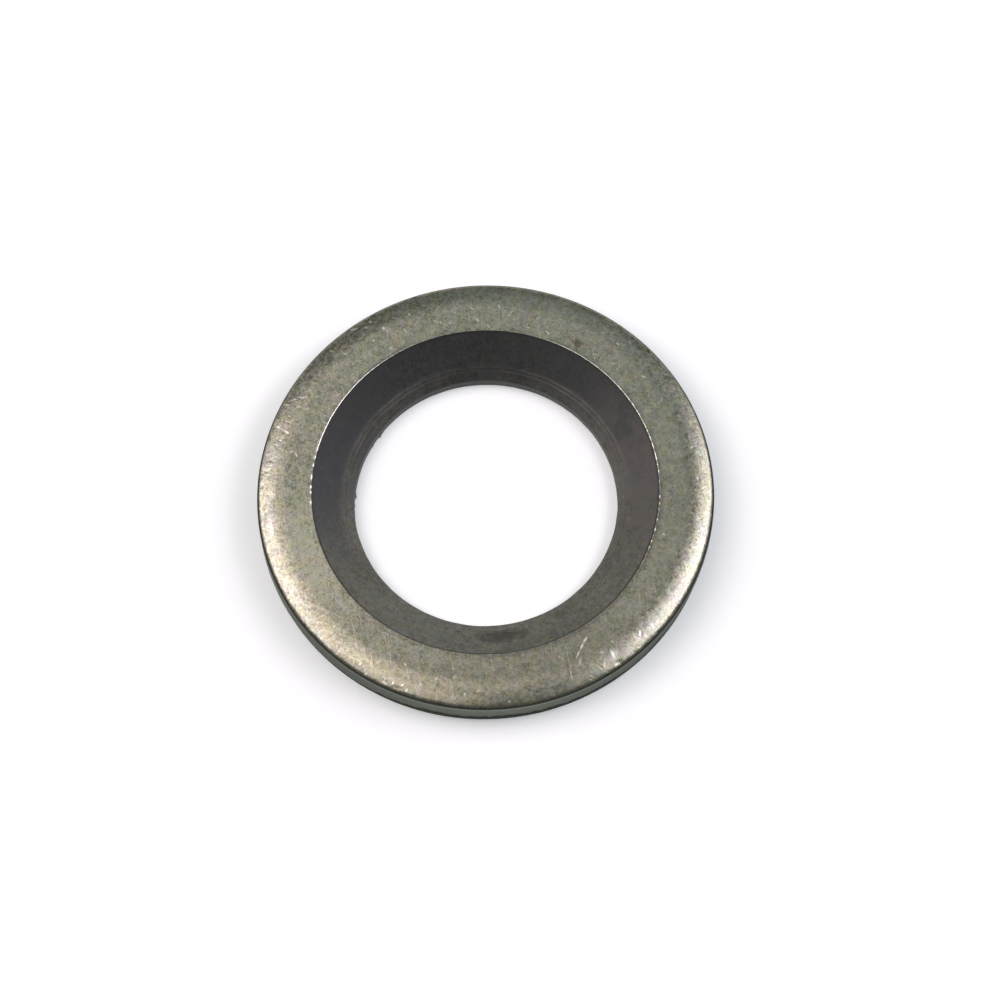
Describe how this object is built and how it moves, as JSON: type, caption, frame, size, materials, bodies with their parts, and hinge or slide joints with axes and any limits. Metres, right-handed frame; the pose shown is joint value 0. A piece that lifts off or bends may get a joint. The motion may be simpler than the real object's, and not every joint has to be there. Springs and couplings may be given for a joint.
{
  "type": "bonded sealing washer",
  "caption": "Flat steel ring with a rolled outer edge and a dark rubber seal bonded in its bore, sloping down to a narrow sealing lip.",
  "frame": {"origin": "centre of the underside, on the washer's axis", "axes": "+Z along the washer's axis, towards the face where the seal's cone opens"},
  "size_m": [0.0206, 0.0206, 0.002],
  "materials": {
    "steel": "tumbled satin steel, brown-grey, with fine scratches and a brighter rolled edge",
    "seal_rubber": "matte moulded rubber, near black"
  },
  "bodies": {
    "root": {"steel_ring": "steel", "rubber_seal": "seal_rubber"}
  },
  "joints": []
}
